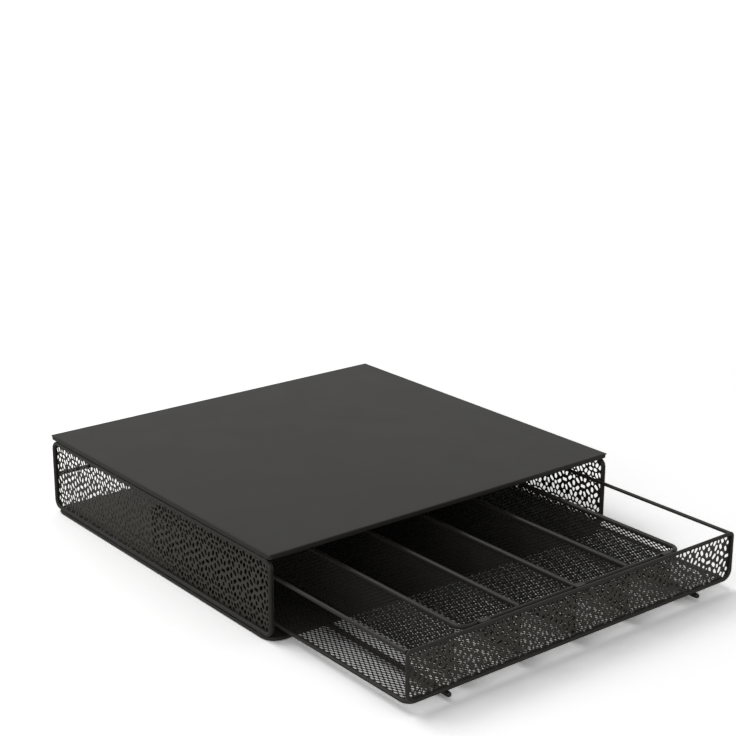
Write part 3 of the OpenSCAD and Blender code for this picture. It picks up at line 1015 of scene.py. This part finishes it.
# Rule for weld beads: one lumpy bead at each given point, each a little different
def beadTree():
    tree, get = ruleTree("weld_beads", ("Length", "Width", "Height", "Spread"), ("Seed",))
    ball = addNode(tree, "GeometryNodeMeshIcoSphere", {"Radius": 0.5, "Subdivisions": 3})
    position = addNode(tree, "GeometryNodeInputPosition")
    lump = addNode(tree, "ShaderNodeTexNoise", {
        "Vector": position, "Scale": beadForm["lumpScale"], "Detail": 1.0,
    })
    swell = addNode(
        tree, "ShaderNodeMath", {0: lump, 1: beadForm["lumpDepth"], 2: beadForm["leastSwell"]},
        operation="MULTIPLY_ADD",
    )
    grown = addNode(tree, "ShaderNodeVectorMath", {0: position, "Scale": swell}, operation="SCALE")
    lumpy = addNode(tree, "GeometryNodeSetPosition", {"Geometry": ball, "Position": grown})
    turn = addNode(
        tree, "GeometryNodeInputNamedAttribute", {"Name": "turn"}, data_type="FLOAT_VECTOR"
    )
    least = addNode(tree, "ShaderNodeMath", {0: 1.0, 1: get["Spread"]}, operation="SUBTRACT")
    # inputs 2 and 3 and output 1 are this node's float ones
    size = addNode(
        tree, "FunctionNodeRandomValue", {2: least, 3: 1.0, "Seed": get["Seed"]}, data_type="FLOAT"
    )
    full = addNode(
        tree, "ShaderNodeCombineXYZ", {0: get["Length"], 1: get["Width"], 2: get["Height"]}
    )
    scaled = addNode(
        tree, "ShaderNodeVectorMath", {0: full, "Scale": size.outputs[1]}, operation="SCALE"
    )
    beads = addNode(tree, "GeometryNodeInstanceOnPoints", {
        "Points": get["Geometry"], "Instance": lumpy, "Rotation": turn, "Scale": scaled,
    })
    addRuleEnd(tree, beads, get["Material"])
    return tree


beadRule = beadTree()


# Beads of one size. Each place is a point and the turn of the bead there
def beadMesh(places, size):
    data = bpy.data.meshes.new("bead_points")
    data.from_pydata([tuple(spot) for spot, turn in places], [], [])
    turns = [angle for spot, turn in places for angle in (0, 0, turn)]
    data.attributes.new("turn", "FLOAT_VECTOR", "POINT").data.foreach_set("vector", turns)
    made = runRule(
        beadRule,
        {
            "Length": size[0] * mm, "Width": size[1] * mm, "Height": size[2] * mm,
            "Spread": beadForm["spread"], "Seed": beadForm["seed"], "Material": weldCoat,
        },
        data,
    )
    return smoothed(made, beadForm["sharpDegrees"])


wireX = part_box("right_side_frame")[1].x - spacerWeld["frameRadius"] * mm
for where in ("top", "base"):
    node = where + "_spacer_welds"
    low, high, middle = span(node)
    places = [
        (Vector((sx * wireX, middle.y + sy * y, middle.z)), quarterTurn)
        for sx in (-1, 1)
        for sy in (-1, 1)
        for y in (
            (high.y - low.y) / 2 - spacerWeld["endInset"] * mm, spacerWeld["middlePlace"] * mm
        )
    ]
    piece(
        where + "_weld_beads", beadMesh(places, spacerWeld["size"]),
        weldCoat, "housing", (node,),
    )

# Where the drawer's wires meet: rails on the end sheets, dividers on their ring, and the floor
# rail under the end frames
places = []
railLow, railHigh, railMiddle = span("right_top_rail")
floorLow, floorHigh, floorMiddle = span("floor_rail")
for sx in (-1, 1):
    for y, inward in ((sheetBack, 1), (railHigh.y, -1)):
        for across, up in drawerWeld["railSpots"]:
            spot = Vector((
                sx * (railMiddle.x + across * mm), y + inward * drawerWeld["railInset"] * mm,
                railMiddle.z + up * mm,
            ))
            places.append((spot, quarterTurn))
for node in ("left_divider_wire", "middle_divider_wire", "right_divider_wire"):
    low, high, middle = span(node)
    for y, inward in ((low.y, 1), (high.y, -1)):
        for sx in (-1, 1):
            spot = Vector((
                middle.x + sx * drawerWeld["dividerOffset"] * mm,
                y + inward * drawerWeld["dividerInset"] * mm, middle.z,
            ))
            places.append((spot, sx * inward * quarterTurn / 2))
wireRadius = drawerWeld["wireRadius"] * mm
grooveZ = (floorMiddle.z + frontLow.z + wireRadius) / 2
for sy, railEdge, frameY in ((-1, floorLow.y, frontMiddle.y), (1, floorHigh.y, backMiddle.y)):
    grooveY = (railEdge - sy * wireRadius + frameY) / 2
    for x in drawerWeld["floorSpots"]:
        for out in (-1, 1):
            spot = Vector((
                x * mm, grooveY + out * sy * drawerWeld["grooveOut"] * mm,
                grooveZ + out * drawerWeld["grooveUp"] * mm,
            ))
            places.append((spot, 0))
piece(
    "drawer_weld_beads", beadMesh(places, drawerWeld["size"]), weldCoat, "drawer"
)
print("welds made")

# Floor, light and camera. These lengths are in metres

studio = {
    "floorHalf": 9.0,
    "paperShade": 0.6,  # what the floor throws back
    "paperWhite": 1.85,  # what the eye sees of it
    "glowFrom": 0.6,
    "glowTo": 1.8,
    "skyBehind": 0.66,
    "skyInFront": 0.42,
    "skyAbove": 0.3,
    "towardsBack": (0.62, 0.785, 0.0),
    "backRange": (-0.5, 0.9),
    "riseRange": (0.2, 0.75),
}
lamps = {
    "key_light": {
        "place": (-0.8, 1.0, 2.0), "target": (0, 0, 0), "size": (1.6, 1.2), "power": 16.0,
    },
    "fill_light": {
        "place": (-2.1, -1.2, 0.7), "target": (0, 0, 0.03), "size": (2.2, 1.2), "power": 9.0,
    },
}
camera = {
    "place": (-783.75, -974.74, 541.29),  # millimetres
    "yawDegrees": 38.41,
    "pitchDegrees": 17.16,
    "rollDegrees": 0.17,
    "lens": 79.93,
    "sensor": 36,
    "clip": (0.05, 60),
}

half = studio["floorHalf"]
floorData = bpy.data.meshes.new("studio_floor")
floorData.from_pydata(
    [(-half, -half, 0), (half, -half, 0), (half, half, 0), (-half, half, 0)], [], [(0, 1, 2, 3)]
)
floor = bpy.data.objects.new("studio_floor", floorData)
bpy.context.scene.collection.objects.link(floor)
paper = bpy.data.materials.new("studio_paper")
tree = emptyTree(paper)
seen = addNode(tree, "ShaderNodeLightPath").outputs["Is Camera Ray"]
level = addNode(
    tree, "ShaderNodeMix", {0: seen, 2: studio["paperShade"], 3: studio["paperWhite"]},
    data_type="FLOAT",
)
shade = addNode(tree, "ShaderNodeCombineXYZ", {0: level, 1: level, 2: level})
matt = addNode(tree, "ShaderNodeBsdfDiffuse", {"Color": shade})
# far from the object, where the lamp fades, the paper glows instead
place = addNode(tree, "ShaderNodeTexCoord").outputs["Object"]
away = addNode(tree, "ShaderNodeVectorMath", {0: place}, operation="LENGTH").outputs["Value"]
farGlow = addNode(
    tree, "ShaderNodeMapRange",
    {"Value": away, "From Min": studio["glowFrom"], "From Max": studio["glowTo"],
     "To Min": 0.0, "To Max": 1.0},
    interpolation_type="SMOOTHSTEP",
)
glow = addNode(tree, "ShaderNodeMath", {0: seen, 1: farGlow}, operation="MULTIPLY")
lift = addNode(tree, "ShaderNodeEmission", {"Color": (1, 1, 1, 1), "Strength": glow})
both = addNode(tree, "ShaderNodeAddShader", {0: matt, 1: lift})
addNode(tree, "ShaderNodeOutputMaterial", {"Surface": both})
floorData.materials.append(paper)

# A bright wall behind the object, a dim room in front of it and a soft ceiling
world = bpy.data.worlds.new("studio_air")
bpy.context.scene.world = world
tree = emptyTree(world)
direction = addNode(tree, "ShaderNodeTexCoord").outputs["Generated"]
behind = addNode(
    tree, "ShaderNodeVectorMath", {0: direction, 1: studio["towardsBack"]},
    operation="DOT_PRODUCT",
).outputs["Value"]
around = addNode(
    tree, "ShaderNodeMapRange",
    {"Value": behind, "From Min": studio["backRange"][0], "From Max": studio["backRange"][1],
     "To Min": studio["skyInFront"], "To Max": studio["skyBehind"]},
    interpolation_type="SMOOTHSTEP",
)
rise = addNode(
    tree, "ShaderNodeMapRange",
    {"Value": addNode(tree, "ShaderNodeSeparateXYZ", {0: direction}).outputs[2],
     "From Min": studio["riseRange"][0], "From Max": studio["riseRange"][1],
     "To Min": 0.0, "To Max": 1.0},
    interpolation_type="SMOOTHSTEP",
)
room = addNode(
    tree, "ShaderNodeMix", {0: rise, 2: around, 3: studio["skyAbove"]}, data_type="FLOAT"
)
seen = addNode(tree, "ShaderNodeLightPath").outputs["Is Camera Ray"]
strength = addNode(tree, "ShaderNodeMix", {0: seen, 2: room, 3: 1.0}, data_type="FLOAT")
air = addNode(tree, "ShaderNodeBackground", {"Color": (1, 1, 1, 1), "Strength": strength})
addNode(tree, "ShaderNodeOutputWorld", {"Surface": air})

for name, values in lamps.items():
    lampData = bpy.data.lights.new(name, "AREA")
    lampData.shape = "RECTANGLE"
    lampData.size, lampData.size_y = values["size"]
    lampData.energy = values["power"]
    lamp = bpy.data.objects.new(name, lampData)
    bpy.context.scene.collection.objects.link(lamp)
    lamp.location = values["place"]
    lamp.rotation_mode = "QUATERNION"
    aim = Vector(values["target"]) - Vector(values["place"])
    lamp.rotation_quaternion = aim.to_track_quat("-Z", "Y")

cameraData = bpy.data.cameras.new("camera")
cameraData.sensor_width = camera["sensor"]
cameraData.lens = camera["lens"]
cameraData.clip_start, cameraData.clip_end = camera["clip"]
eye = bpy.data.objects.new("camera", cameraData)
bpy.context.scene.collection.objects.link(eye)
eye.rotation_mode = "QUATERNION"
turned = (
    Matrix.Rotation(math.radians(-camera["yawDegrees"]), 3, "Z")
    @ Matrix.Rotation(math.radians(90 - camera["pitchDegrees"]), 3, "X")
    @ Matrix.Rotation(math.radians(camera["rollDegrees"]), 3, "Z")
)
eye.rotation_quaternion = turned.to_quaternion()
eye.location = Vector(camera["place"]) * mm
bpy.context.scene.camera = eye
bpy.context.scene.view_settings.view_transform = "Standard"
print("studio ready")
